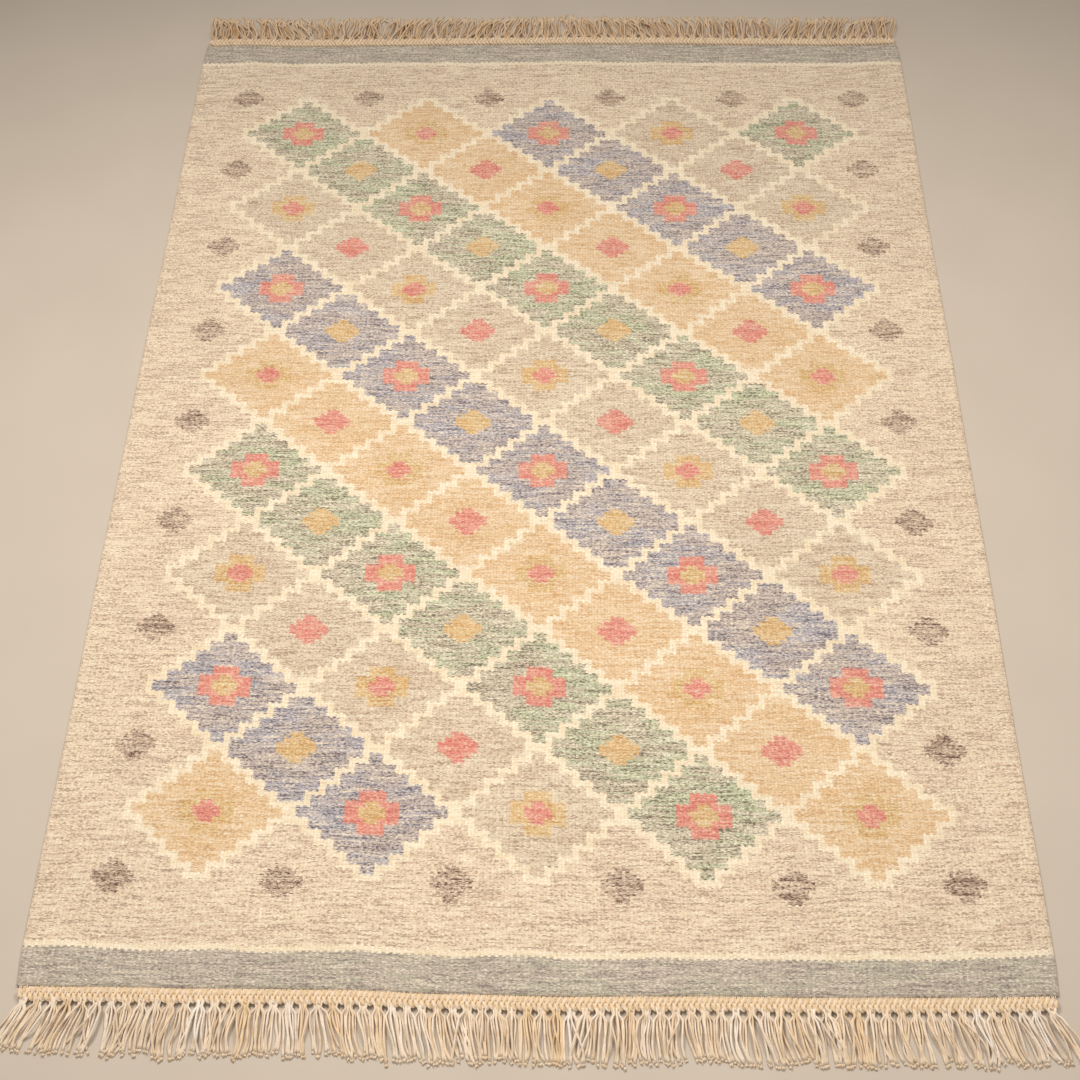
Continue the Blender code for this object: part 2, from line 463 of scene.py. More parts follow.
class Nodes:
    """Adds shader nodes by plain calls, so that a material reads like a formula."""

    def __init__(self, name):
        self.material = bpy.data.materials.new(name)
        self.material.use_nodes = True
        self.tree = self.material.node_tree
        self.shader = self.tree.nodes["Principled BSDF"]

    def feed(self, socket, value):
        """Links an output to a socket, or sets the socket's own value."""
        if isinstance(value, bpy.types.NodeSocket):
            self.tree.links.new(value, socket)
        else:
            socket.default_value = value

    def add(self, kind, **inputs):
        """A node of that kind with its named inputs fed."""
        node = self.tree.nodes.new(kind)
        for name, value in inputs.items():
            self.feed(node.inputs[name.replace("_", " ")], value)
        return node

    def math(self, operation, *values):
        node = self.tree.nodes.new("ShaderNodeMath")
        node.operation = operation
        for socket, value in zip(node.inputs, values):
            self.feed(socket, value)
        return node.outputs[0]

    def choose(self, condition, yes, no):
        """yes where the condition is 1, and no where it is 0."""
        if isinstance(yes, bpy.types.NodeSocket) or isinstance(no, bpy.types.NodeSocket):
            difference = self.math("SUBTRACT", yes, no)
        else:
            difference = yes - no
        return self.math("MULTIPLY_ADD", condition, difference, no)

    def below(self, value, limit):
        return self.math("LESS_THAN", value, limit)

    def at_most(self, value, whole):
        """1 where a whole-number value is no more than that whole number."""
        return self.below(value, whole + 0.5)

    def all_of(self, *conditions):
        result = conditions[0]
        for condition in conditions[1:]:
            result = self.math("MULTIPLY", result, condition)
        return result

    def opposite(self, condition):
        return self.math("SUBTRACT", 1.0, condition)

    def within(self, value, limits):
        """value's place between the two limits, as a smooth 0 to 1."""
        low, high = limits
        node = self.add("ShaderNodeMapRange", Value=value, From_Min=low, From_Max=high)
        node.interpolation_type = "SMOOTHSTEP"
        return node.outputs["Result"]

    def noise(self, x, y, size, detail=1.0):
        """Flat noise, stretched to the two given sizes in metres."""
        size_x, size_y = size
        spot = self.add("ShaderNodeCombineXYZ")
        self.feed(spot.inputs["X"], self.math("DIVIDE", x, size_x))
        self.feed(spot.inputs["Y"], self.math("DIVIDE", y, size_y))
        node = self.add("ShaderNodeTexNoise", Vector=spot.outputs[0], Scale=1.0, Detail=detail)
        node.noise_dimensions = "2D"
        return node.outputs["Fac"]

    def speckle(self, x, y):
        """A random value for each whole x and y."""
        spot = self.add("ShaderNodeCombineXYZ", X=x, Y=y)
        node = self.add("ShaderNodeTexWhiteNoise", Vector=spot.outputs[0])
        node.noise_dimensions = "2D"
        return node.outputs["Value"]

    def mix(self, share, first, second, blend="MIX"):
        node = self.tree.nodes.new("ShaderNodeMix")
        node.data_type = "RGBA"
        node.blend_type = blend
        self.feed(node.inputs["Factor"], share)
        self.feed(node.inputs[6], first)
        self.feed(node.inputs[7], second)
        return node.outputs[2]

    def shaded(self, color, *parts):
        """A colour darkened by parts, each a value with what it adds and its least shade."""
        depth = self.all_of(*[self.math("MULTIPLY_ADD", value, *shade) for value, shade in parts])
        gray = self.add("ShaderNodeCombineXYZ", X=depth, Y=depth, Z=depth)
        return self.mix(1.0, color, gray.outputs[0], "MULTIPLY")

    def emboss(self, height, strength, distance):
        """Feeds a height into the shader's normal."""
        bump = self.add("ShaderNodeBump", Height=height, Strength=strength, Distance=distance)
        self.feed(self.shader.inputs["Normal"], bump.outputs["Normal"])

    def shades(self, code, colors):
        """The colour for a whole-number code."""
        node = self.tree.nodes.new("ShaderNodeValToRGB")
        ramp = node.color_ramp
        ramp.interpolation = "CONSTANT"
        count = len(colors)
        while len(ramp.elements) < count:
            ramp.elements.new(1.0)
        for index, color in enumerate(colors):
            ramp.elements[index].position = index / count
            ramp.elements[index].color = linear(color)
        self.feed(node.inputs["Fac"], self.math("DIVIDE", self.math("ADD", code, 0.5), count))
        return node.outputs["Color"]


def woven_place(g, u, v):
    """The weft bead that shows at a place: its rib, row and pick, its middle and its pillow."""
    ribs = g.math("DIVIDE", u, RIB_PITCH)
    rib = g.math("FLOOR", ribs)
    odd = g.math("FLOORED_MODULO", rib, 2.0)
    rows = g.math("MULTIPLY_ADD", odd, 0.5, g.math("DIVIDE", v, BEAD_HEIGHT))
    row = g.math("FLOOR", rows)
    pick = g.math("MULTIPLY_ADD", row, 2.0, odd)
    middle = g.math("MULTIPLY", g.math("ADD", row, 0.5), BEAD_HEIGHT)
    y = g.math("MULTIPLY_ADD", odd, TOOTH_DEPTH, middle)
    across = g.math("SINE", g.math("MULTIPLY", g.math("FRACT", ribs), math.pi))
    along = g.math("SINE", g.math("MULTIPLY", g.math("FRACT", rows), math.pi))
    full_across = g.math("POWER", across, BEAD_FULLNESS_ACROSS)
    full_along = g.math("POWER", along, BEAD_FULLNESS_ALONG)
    return rib, row, pick, y, g.math("MULTIPLY", full_across, full_along)


def lattice_code(g, x, y):
    """Which yarn the stepped lozenges ask for at a place, or the field's."""
    cell_x = g.math("DIVIDE", x, STEP_X)
    cell_y = g.math("DIVIDE", y, STEP_Y)
    far_x = g.math("ABSOLUTE", cell_x)
    far_y = g.math("ABSOLUTE", cell_y)
    row_y = g.math("ADD", cell_y, HALF)
    a = g.math("PINGPONG", cell_x, HALF)
    b = g.math("PINGPONG", row_y, HALF)
    ring = g.math("ADD", g.math("FLOOR", a), g.math("FLOOR", b))
    wide_a = g.math("FLOOR", g.math("ADD", a, OUTLINE_X / STEP_X))
    wide_b = g.math("FLOOR", g.math("ADD", b, OUTLINE_Y / STEP_Y))
    main = g.at_most(ring, HALF - 1)
    between = g.opposite(main)
    outline = g.all_of(main, g.opposite(g.at_most(g.math("ADD", wide_a, wide_b), HALF - 1)))

    # Colours run in slanting rows: a lozenge's turn is its column's number plus its row's.
    turns_x = g.math("DIVIDE", cell_x, 2.0 * HALF)
    turns_y = g.math("DIVIDE", row_y, 2.0 * HALF)
    main_turn = g.math("ADD", g.math("ROUND", turns_x), g.math("ROUND", turns_y))
    between_turn = g.math("ADD", g.math("FLOOR", turns_x), g.math("CEIL", turns_y))
    turn = g.choose(main, main_turn, between_turn)
    shade = g.math("FLOORED_MODULO", turn, float(BODY_SHADES))
    odd_turn = g.math("FLOORED_MODULO", turn, 2.0)

    # Hearts: a coarse and a fine one in the main lozenges, and one fine one between them.
    fine_main = g.math("ADD", g.math("FLOOR", g.math("MULTIPLY", a, 2.0)),
                       g.math("FLOOR", g.math("MULTIPLY", b, 2.0)))
    near_a = g.math("FLOOR", g.math("MULTIPLY_ADD", a, -2.0, 2.0 * HALF))
    near_b = g.math("FLOOR", g.math("MULTIPLY_ADD", b, -2.0, 2.0 * HALF))
    small_lozenge = g.at_most(g.math("ADD", near_a, near_b), SMALL_LOZENGE_RINGS)
    big_heart = g.at_most(ring, HEART_RINGS)
    small_heart = g.at_most(fine_main, HEART_RINGS)

    half_columns = COLUMNS * HALF
    half_rows = ROWS * HALF
    main_in = g.all_of(main, g.below(far_x, half_columns), g.below(far_y, half_rows))
    between_in = g.all_of(between, g.below(far_x, half_columns - HALF),
                          g.below(far_y, half_rows - HALF))
    margin = g.all_of(small_lozenge, g.opposite(between_in),
                      g.below(far_x, half_columns + MARGIN_STEPS),
                      g.below(far_y, half_rows + MARGIN_STEPS))

    code = g.choose(between_in, g.math("ADD", shade, BLUE), FIELD)
    code = g.choose(main_in, g.math("ADD", shade, BLUE), code)
    code = g.choose(g.all_of(main_in, outline), CREAM, code)
    accent = g.choose(odd_turn, OCHRE, CORAL)
    other_accent = g.choose(odd_turn, CORAL, OCHRE)
    code = g.choose(g.all_of(main_in, big_heart), accent, code)
    code = g.choose(g.all_of(main_in, small_heart), other_accent, code)
    code = g.choose(g.all_of(between_in, small_lozenge), other_accent, code)
    return g.choose(margin, TAUPE, code)


def chart_code(g, x, y):
    """The whole chart: lattice, cream lines and end bands."""
    front = -CLOTH_LENGTH / 2 + FRONT_BAND
    back = CLOTH_LENGTH / 2 - BACK_BAND
    code = lattice_code(g, x, y)
    in_line = g.all_of(g.below(front + CREAM_LINE, y), g.below(y, back - CREAM_LINE))
    code = g.choose(in_line, code, CREAM)
    in_band = g.all_of(g.below(front, y), g.below(y, back))
    return g.choose(in_band, code, BAND)


def wool_material():
    """Weft-faced wool: the chart, heathered along each pick, over beaded ribs with painted shade in
    their grooves.
    """
    g = Nodes("wool_weave")
    place = g.add("ShaderNodeUVMap")
    place.uv_map = "weave"
    split = g.add("ShaderNodeSeparateXYZ", Vector=place.outputs["UV"])
    u = split.outputs["X"]
    flat_v = split.outputs["Y"]
    waver = g.math("SUBTRACT", g.noise(u, flat_v, WAVER_SIZE), 0.5)
    v = g.math("MULTIPLY_ADD", waver, WEFT_WAVER, flat_v)
    rib, row, pick, y, pillow = woven_place(g, u, v)

    jitter = g.math("SUBTRACT", g.speckle(row, JITTER_STEP), 0.5)
    code = chart_code(g, g.math("MULTIPLY_ADD", jitter, EDGE_TEETH, u), y)

    # A row's colour changes along it only. A pick shows on every other rib, as a dotted line.
    lane = g.math("MULTIPLY", row, LANE_STEP)
    pick_lane = g.math("MULTIPLY", pick, LANE_STEP)
    dash = g.noise(u, lane, (DASH_LENGTH, LANE_SIZE))
    dotted = g.noise(g.math("ADD", u, DOTTED_STEP), pick_lane, (DOTTED_LENGTH, LANE_SIZE))
    line = g.noise(g.math("ADD", u, LINE_STEP), lane, (LINE_LENGTH, LANE_SIZE))
    tone = g.math("MULTIPLY_ADD", dash, DASH_SHARE, g.math("MULTIPLY", dotted, DOTTED_SHARE))
    tone = g.math("MULTIPLY_ADD", line, LINE_SHARE, tone)
    dark = g.within(tone, DARK_RANGE)
    light = g.opposite(g.within(tone, NOT_LIGHT_RANGE))
    patch = g.noise(u, v, PATCH_SIZE, detail=2.0)
    long_line = g.noise(g.math("ADD", u, LONG_LINE_STEP), lane, (LONG_LINE_LENGTH, LANE_SIZE))
    long_part = g.math("MULTIPLY", long_line, LONG_LINE_SHARE)
    streak = g.within(g.math("MULTIPLY_ADD", patch, PATCH_SHARE, long_part), STREAK_RANGE)
    cloud = g.noise(u, v, CLOUD_SIZE, detail=3.0)
    grain = g.speckle(rib, row)

    _, bodies, darks, lights, streaks = zip(*YARNS)
    streaked = g.math("MULTIPLY", streak, STREAK_STRENGTH)
    color = g.mix(streaked, g.shades(code, bodies), g.shades(code, streaks))
    color = g.mix(dark, color, g.shades(code, darks))
    color = g.mix(g.math("MULTIPLY", light, LIGHT_STRENGTH), color, g.shades(code, lights))

    # Painted shade darkens the grooves between the beads, and each bead differs a little in tone.
    color = g.shaded(color, (pillow, PILLOW_SHADE), (grain, GRAIN_SHADE), (cloud, CLOUD_SHADE))
    g.feed(g.shader.inputs["Base Color"], color)

    fuzz = g.noise(u, v, FUZZ_SIZE, detail=2.0)
    g.emboss(g.math("MULTIPLY_ADD", fuzz, 0.35, pillow), strength=0.55, distance=0.0009)
    g.feed(g.shader.inputs["Roughness"], g.math("MULTIPLY_ADD", pillow, -0.08, 0.97))
    g.shader.inputs["Specular IOR Level"].default_value = 0.25
    g.shader.inputs["Sheen Weight"].default_value = 0.15
    g.shader.inputs["Sheen Roughness"].default_value = 0.5
    return g.material


def warp_material():
    """Twisted warp cord: plies that wind round it with painted shade between them, cream to straw,
    duller at brushed tips.
    """
    g = Nodes("cotton_warp")
    place = g.add("ShaderNodeUVMap")
    place.uv_map = "twist"
    split = g.add("ShaderNodeSeparateXYZ", Vector=place.outputs["UV"])
    along = split.outputs["X"]
    around = split.outputs["Y"]
    yarn = g.add("ShaderNodeAttribute")
    yarn.attribute_name = "yarn"
    parts = g.add("ShaderNodeSeparateColor", Color=yarn.outputs["Color"])
    tone = parts.outputs["Red"]
    tip = parts.outputs["Green"]
    age = parts.outputs["Blue"]

    twist = g.math("ADD", g.math("DIVIDE", along, PLY_LENGTH), around)
    ply = g.math("ABSOLUTE", g.math("SINE", g.math("MULTIPLY", twist, math.pi * 2.0)))
    fibre = g.noise(g.math("ADD", along, tone), around, FIBRE_SIZE, detail=2.0)
    wear = g.noise(along, g.math("MULTIPLY", tone, WEAR_STEP), WEAR_SIZE)
    worn = g.math("MULTIPLY", g.within(wear, WEAR_RANGE), WEAR_STRENGTH)

    color = g.mix(tone, linear(FRESH_WARP), linear(STRAW_WARP))
    color = g.mix(worn, color, linear(WORN_WARP))
    # The age share browns the older cords; at its full it gives the plait's core the dark colour that is
    # painted shade in the plait's holes.
    color = g.mix(age, color, linear(AGED_AND_CORE_SHADE_WARP))
    color = g.mix(tip, color, linear(FRAYED_WARP))
    # Painted shade darkens the grooves between the plies; the fibre noise varies the tone.
    full_ply = g.math("POWER", ply, PLY_FULLNESS)
    color = g.shaded(color, (full_ply, PLY_SHADE), (fibre, FIBRE_SHADE))
    g.feed(g.shader.inputs["Base Color"], color)

    g.emboss(g.math("MULTIPLY_ADD", fibre, 0.4, ply), strength=0.6, distance=0.0004)
    g.feed(g.shader.inputs["Roughness"], g.math("MULTIPLY_ADD", ply, -0.12, 0.92))
    g.shader.inputs["Specular IOR Level"].default_value = 0.3
    g.shader.inputs["Sheen Weight"].default_value = 0.1
    return g.material


# The cloth.
def wave(u, v, kind):
    """A sine wave over the cloth, from its radians to a metre across and along and its start."""
    across, along, start = kind
    return np.sin(across * u + along * v + start)


def cloth_place(u, v, tables):
    """Where a point of the flat cut lies: its rows and columns waver a little."""
    front_edge, front_band, back_edge, back_band = tables
    half = CLOTH_LENGTH / 2
    from_front = v + half
    from_back = half - v
    y = v + ROW_WAVE_DEPTH * wave(u, v, ROW_WAVE) * wave(u, v, ROW_SWELL)
    y += SLANT_WAVE_DEPTH * wave(u, v, SLANT_WAVE)
    fade = smoothstep(from_front / WAVE_FADE) * smoothstep(from_back / WAVE_FADE)
    y = v + (y - v) * fade
    for edge, band, distance, width, out in (
        (front_edge, front_band, from_front, FRONT_BAND, -1.0),
        (back_edge, back_band, from_back, BACK_BAND, 1.0),
    ):
        in_band = np.clip(distance / width, 0.0, 1.0)
        beyond = np.clip((distance - width) / BAND_FADE, 0.0, 1.0)
        shift = edge + (band - edge) * in_band
        y = y + out * shift * (1.0 - smoothstep(beyond))
    sides = np.array([side_line(row) for row in v[0]])
    x = u * (sides / (CLOTH_WIDTH / 2))[None, :]
    x = x + SIDE_WAVE_DEPTH * wave(u, v, SIDE_WAVE) * np.cos(math.pi * u / CLOTH_WIDTH)
    return x, y


def cloth_lift(u, v):
    """How far the cloth stands off the floor: faint ripples, most of them near its ends."""
    half = CLOTH_LENGTH / 2
    near_end = np.exp(-(half - np.abs(v)) / PUCKER_REACH)
    wide = wave(u, v, RIPPLE_ACROSS) * wave(u, v, RIPPLE_ALONG)
    wide = wide + SLANT_RIPPLE_SHARE * wave(u, v, SLANT_RIPPLE)
    pucker = wave(u, v, PUCKER) * near_end
    return RIPPLE_HEIGHT * np.maximum(0.0, wide) + PUCKER_HEIGHT * np.maximum(0.0, pucker)


def grid_faces(columns, rows, start, flip):
    """Quads of a grid whose points run row by row along v, for each u in turn."""
    i, j = np.meshgrid(np.arange(columns), np.arange(rows), indexing="ij")
    first = start + i * (rows + 1) + j
    quads = np.stack([first, first + rows + 1, first + rows + 2, first + 1], -1).reshape(-1, 4)
    return quads[:, ::-1] if flip else quads


def rim_indices(columns, rows):
    """Grid points round the edge, anticlockwise seen from above."""
    step = rows + 1
    bottom = [i * step for i in range(columns)]
    right = [columns * step + j for j in range(rows)]
    top = [i * step + rows for i in range(columns, 0, -1)]
    left = [j for j in range(rows, 0, -1)]
    return np.array(bottom + right + top + left)


def make_object(name, points, faces, material, smooth=True):
    """A mesh object from points and faces."""
    mesh = bpy.data.meshes.new(name)
    mesh.from_pydata(points.tolist(), [], faces if isinstance(faces, list) else faces.tolist())
    mesh.materials.append(material)
    if smooth:
        mesh.shade_smooth()
    obj = bpy.data.objects.new(name, mesh)
    bpy.context.scene.collection.objects.link(obj)
    return obj


def add_map(obj, name, values):
    """A UV map whose value at each corner is that of the corner's point."""
    layer = obj.data.uv_layers.new(name=name, do_init=False)
    corners = np.empty(len(obj.data.loops), dtype=np.int64)
    obj.data.loops.foreach_get("vertex_index", corners)
    layer.data.foreach_set("uv", np.asarray(values, np.float32)[corners].ravel())


def build_cloth(material):
    """The woven body as one closed sheet, both faces of it, with rounded edges."""
    us = np.linspace(-CLOTH_WIDTH / 2, CLOTH_WIDTH / 2, CLOTH_COLUMNS + 1)
    vs = np.linspace(-CLOTH_LENGTH / 2, CLOTH_LENGTH / 2, CLOTH_ROWS + 1)
    u, v = np.meshgrid(us, vs, indexing="ij")
    tables = []
    for side in ("front", "back"):
        end = ENDS[side]
        across = 2.0 * us / CLOTH_WIDTH
        edge = [end["bow"] * (1 - a * a) + read_table(end["edge"], a) for a in across]
        band = [read_table(end["band"], a) for a in across]
        tables += [np.array(edge)[:, None], np.array(band)[:, None]]
    x, y = cloth_place(u, v, tables)
    lift = cloth_lift(u, v)
    rim = rim_indices(CLOTH_COLUMNS, CLOTH_ROWS)
    flat = np.stack([x.ravel(), y.ravel()], -1)
    heights = lift.ravel()
    cut = np.stack([u.ravel(), v.ravel()], -1)

    inward = np.array([1 - 2 * SELVEDGE_ROUND / CLOTH_WIDTH, 1 - 2 * SELVEDGE_ROUND / CLOTH_LENGTH])
    inner = flat.copy()
    inner[rim] = flat[rim] * inward
    top = np.column_stack([inner, heights + CLOTH_THICKNESS])
    bottom = np.column_stack([inner, heights])
    upper = np.column_stack([flat[rim], heights[rim] + CLOTH_THICKNESS - SELVEDGE_ROUND])
    lower = np.column_stack([flat[rim], heights[rim] + SELVEDGE_ROUND])
    points = np.concatenate([top, bottom, upper, lower])
    points[:, :2] += np.array(MIDDLE)[:2]

    count = len(flat)
    around = len(rim)
    following = np.roll(np.arange(around), -1)
    rings = [rim + count, np.arange(around) + 2 * count + around,
             np.arange(around) + 2 * count, rim]
    faces = [grid_faces(CLOTH_COLUMNS, CLOTH_ROWS, 0, False),
             grid_faces(CLOTH_COLUMNS, CLOTH_ROWS, count, True)]
    for low_ring, high_ring in zip(rings, rings[1:]):
        faces.append(np.stack([low_ring, low_ring[following], high_ring[following], high_ring], -1))
    rug = make_object("woven_cloth", points, np.concatenate(faces), material)
    add_map(rug, "weave", np.concatenate([cut, cut, cut[rim], cut[rim]]))
    return rug


# Cords and strands.
class Bundle:
    """Gathers tubes into one mesh, with a twist map and a yarn colour for every point."""

    def __init__(self):
        self.points = []
        self.faces = []
        self.twist = []
        self.yarn = []
        self.count = 0

    def add_tube(self, path, half_widths, half_heights, sides, yarn, twist=1.0):
        """Sweeps an oval section along a path of points and closes both ends."""
        path = np.asarray(path, float)
        stations = len(path)
        tangent = np.gradient(path, axis=0)
        tangent /= np.linalg.norm(tangent, axis=1)[:, None]
        side = np.cross(tangent, (0.0, 0.0, 1.0))
        side /= np.linalg.norm(side, axis=1)[:, None] + 1e-12
        up = np.cross(side, tangent)
        turn = 2.0 * np.pi * np.arange(sides) / sides
        across = np.cos(turn)[None, :, None] * np.asarray(half_widths)[:, None, None]
        above = np.sin(turn)[None, :, None] * np.asarray(half_heights)[:, None, None]
        rings = path[:, None, :] + across * side[:, None, :] + above * up[:, None, :]
        lengths = np.linalg.norm(np.diff(path, axis=0), axis=1)
        along = np.concatenate([[0.0], np.cumsum(lengths)])
        base = self.count
        i, j = np.meshgrid(np.arange(stations - 1), np.arange(sides), indexing="ij")
        following = (j + 1) % sides
        quads = np.stack([base + i * sides + j, base + i * sides + following,
                          base + (i + 1) * sides + following, base + (i + 1) * sides + j], -1)
        self.faces += quads.reshape(-1, 4).tolist()
        self.faces.append(list(range(base, base + sides))[::-1])
        last = base + (stations - 1) * sides
        self.faces.append(list(range(last, last + sides)))
        self.points.append(rings.reshape(-1, 3))
        grid_along = np.repeat(along[:, None] * twist, sides, 1)
        # The angle runs there and back round the section, so that no face jumps over a seam. Where
        # there is little twist, the whole section keeps to a ply's crest.
        there_and_back = np.abs(2.0 * np.arange(sides) / sides - 1.0)
        grid_around = PLY_CREST + (there_and_back[None, :] - PLY_CREST) * twist
        grid_around = np.repeat(grid_around, stations, 0)
        self.twist.append(np.stack([grid_along, grid_around], -1).reshape(-1, 2))
        tone, tips, age = yarn
        colors = np.empty((stations, sides, 4))
        colors[..., 0] = tone
        colors[..., 1] = np.asarray(tips)[:, None] if np.ndim(tips) else tips
        colors[..., 2] = age
        colors[..., 3] = 1.0
        self.yarn.append(colors.reshape(-1, 4))
        self.count += stations * sides

    def make(self, name, material):
        points = np.concatenate(self.points)
        points[:, :2] += np.array(MIDDLE)[:2]
        obj = make_object(name, points, self.faces, material)
        # A tube's sides are four-cornered and smooth. Its two end caps stay flat.
        sides = [len(face) == 4 for face in self.faces]
        obj.data.polygons.foreach_set("use_smooth", sides)
        add_map(obj, "twist", np.concatenate(self.twist))
        layer = obj.data.color_attributes.new("yarn", "FLOAT_COLOR", "POINT")
        layer.data.foreach_set("color", np.concatenate(self.yarn).astype(np.float32).ravel())
        return obj


def along_y(x, distance, end):
    """The Y of a point that lies that far out from the cloth's end, at x."""
    return end_line(x, end) + end["out"] * (SEAM_GAP + distance)


def plait_strand(bundle, index, end, chance):
    """One of the plait's strands, from one corner of the rug to the other, thread by thread."""
    samples = int(round(PLAIT_SPAN / PLAIT_REPEAT * PLAIT_SAMPLES)) + 1
    amplitude = PLAIT_WIDTH / 2 - STRAND_HALF_WIDTH
    path = []
    for sample in range(samples):
        share = sample / (samples - 1)
        x = -PLAIT_SPAN / 2 + PLAIT_SPAN * share
        fast_pull = FAST_PULL_SHARE * math.sin(FAST_PULL * x + FAST_PULL_START)
        pull = PLAIT_PULL * (math.sin(SLOW_PULL * x) + fast_pull)
        turn = 2.0 * math.pi * (x / PLAIT_REPEAT + index / PLAIT_STRANDS) + pull
        to_corner = min(share, 1.0 - share) * PLAIT_SPAN
        opened = (1.0 - PLAIT_CORNER_SHARE) * smoothstep(to_corner / PLAIT_CORNER)
        open_share = PLAIT_CORNER_SHARE + opened
        distance = PLAIT_WIDTH / 2 - math.cos(turn) * amplitude * open_share
        path.append((x, along_y(x, distance, end), PLAIT_LEVEL - math.sin(2.0 * turn) * PLAIT_LIFT))
    path = np.array(path)
    for thread in range(THREADS):
        place = (thread - (THREADS - 1) / 2) * THREAD_SPACING
        tone = clamp(PLAIT_TONE + chance.uniform(-PLAIT_TONE_SPREAD, PLAIT_TONE_SPREAD))
        shift = np.zeros_like(path)
        shift[:, 1] = place
        shift[:, 2] = THREAD_CROWN * math.cos(math.pi * thread / (THREADS - 1) - math.pi / 2)
        radii = [THREAD_RADIUS] * samples
        bundle.add_tube(path + shift, radii, radii, PLAIT_SIDES, (tone, 0.0, 0.0))


def plait_core(bundle, end):
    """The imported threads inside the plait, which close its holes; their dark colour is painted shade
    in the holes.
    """
    steps = int(PLAIT_SPAN / CORE_STEP)
    path = []
    for step in range(steps + 1):
        x = (PLAIT_SPAN / 2 - CORE_MARGIN) * (2.0 * step / steps - 1.0)
        path.append((x, along_y(x, PLAIT_WIDTH / 2, end), CORE_LEVEL))
    widths = [CORE_HALF_WIDTH] * len(path)
    heights = [CORE_HALF_HEIGHT] * len(path)
    bundle.add_tube(path, widths, heights, CORE_SIDES, CORE_HOLE_SHADE_YARN)


def warp_stub(bundle, x, end, chance):
    """A warp thread's short way from under the last weft into the plait."""
    slant = chance.uniform(-STUB_SLANT, STUB_SLANT)
    path = []
    for distance, share, level in STUB_PATH:
        path.append((x + slant * share, along_y(x, distance, end), level))
    radii = [STUB_RADIUS] * len(path)
    bundle.add_tube(path, radii, radii, STUB_SIDES, STUB_YARN)


def build_plait(name, end, material):
    """The three-strand plait along one end of the cloth."""
    chance = random.Random(PLAIT_SEED + end["out"])
    bundle = Bundle()
    plait_core(bundle, end)
    for index in range(PLAIT_STRANDS):
        plait_strand(bundle, index, end, chance)
    stubs = int(PLAIT_SPAN / STUB_PITCH)
    for index in range(stubs):
        x = (index + 0.5 - stubs / 2) * STUB_PITCH
        warp_stub(bundle, x, end, chance)
    return bundle.make(name, material)


def cord_path(middle, place, layer, lean, length, bends, tip_spread, end):
    """One cord's way from inside the plait, through its bunch's neck, out to its tip."""
    path = []
    total = CORD_INSIDE + length
    bend_near, bend_far = bends
    reach = length * (1.0 - LEAN_SHORTENING * (lean / length) ** 2)
    for station in range(CORD_STATIONS):
        share = (station / (CORD_STATIONS - 1)) ** STATION_POWER
        run = share * total - CORD_INSIDE
        out = max(0.0, run) / length
        gather = 1.0 - smoothstep((run + GATHER_STEP) / NECK_LENGTH)
        fan = smoothstep((run - FAN_START) / FAN_LENGTH)
        half_width = NECK_HALF_WIDTH + (ROOT_HALF_WIDTH - NECK_HALF_WIDTH) * gather
        half_width += (FAN_HALF_WIDTH * tip_spread**out - NECK_HALF_WIDTH) * fan
        spread = place * half_width
        x = middle + spread + lean * out**LEAN_POWER
        x += bend_near * math.sin(math.pi * out) * out
        x += bend_far * math.sin(2.0 * math.pi * out) * out
        distance = PLAIT_WIDTH + (run if run < 0.0 else out * reach)
        neck_z = CORD_RADIUS + NECK_GAP + layer * NECK_LAYER
        settled = smoothstep((out - SETTLE_START) / SETTLE_SPAN)
        rest_z = THICKEST * CORD_RADIUS + layer * REST_LAYER * (1.0 - settled)
        arch = math.sin(math.pi * min(1.0, out * RISE_SPEED))
        rise = end["rise"] * layer * arch * (1.0 - fan * RISE_LOSS)
        z = neck_z + (rest_z - neck_z) * fan + rise * fan
        path.append((x, along_y(x, distance, end), z))
    return path


def cord_flares():
    """How far a cord has opened at each station: 0 along it and 1 at its brushed end."""
    places = np.arange(CORD_STATIONS) / (CORD_STATIONS - 1)
    return smoothstep((places - CORD_FLARE_START) / (1.0 - CORD_FLARE_START))


FLARES = cord_flares()


def place_across(index, count):
    """Where one of a row of things lies, from -1 for the first to 1 for the last."""
    return (index - (count - 1) / 2) / ((count - 1) / 2)


def fray_tip(bundle, cord, radius, chance, yarn):
    """Loose fibres at a cord's end, lying beside one another."""
    tip = np.array(cord[-1])
    ahead = tip - np.array(cord[-2])
    ahead /= np.linalg.norm(ahead)
    side = np.array((ahead[1], -ahead[0], 0.0))
    tone, age = yarn
    fibre_yarn = (tone, FRAY_TIPS, age)
    for fibre in range(FRAY_FIBRES):
        spread = place_across(fibre, FRAY_FIBRES) * radius
        spread += chance.uniform(-FRAY_SCATTER, FRAY_SCATTER)
        length = FRAY_LENGTH * chance.uniform(*FRAY_LENGTH_RANGE)
        start = tip - ahead * FRAY_OVERLAP + side * spread * FRAY_ROOT_SPREAD
        middle = tip + ahead * length * FRAY_MIDDLE + side * spread
        finish = tip + ahead * length + side * spread * chance.uniform(*FRAY_END_RANGE)
        finish[2] = chance.uniform(*FRAY_LEVEL_RANGE)
        middle[2] = max(FRAY_MIDDLE_LEVEL, (start[2] + finish[2]) / 2)
        path = [start, middle, finish]
        bundle.add_tube(path, FRAY_RADII, FRAY_RADII, FRAY_SIDES, fibre_yarn, twist=FRAY_TWIST)


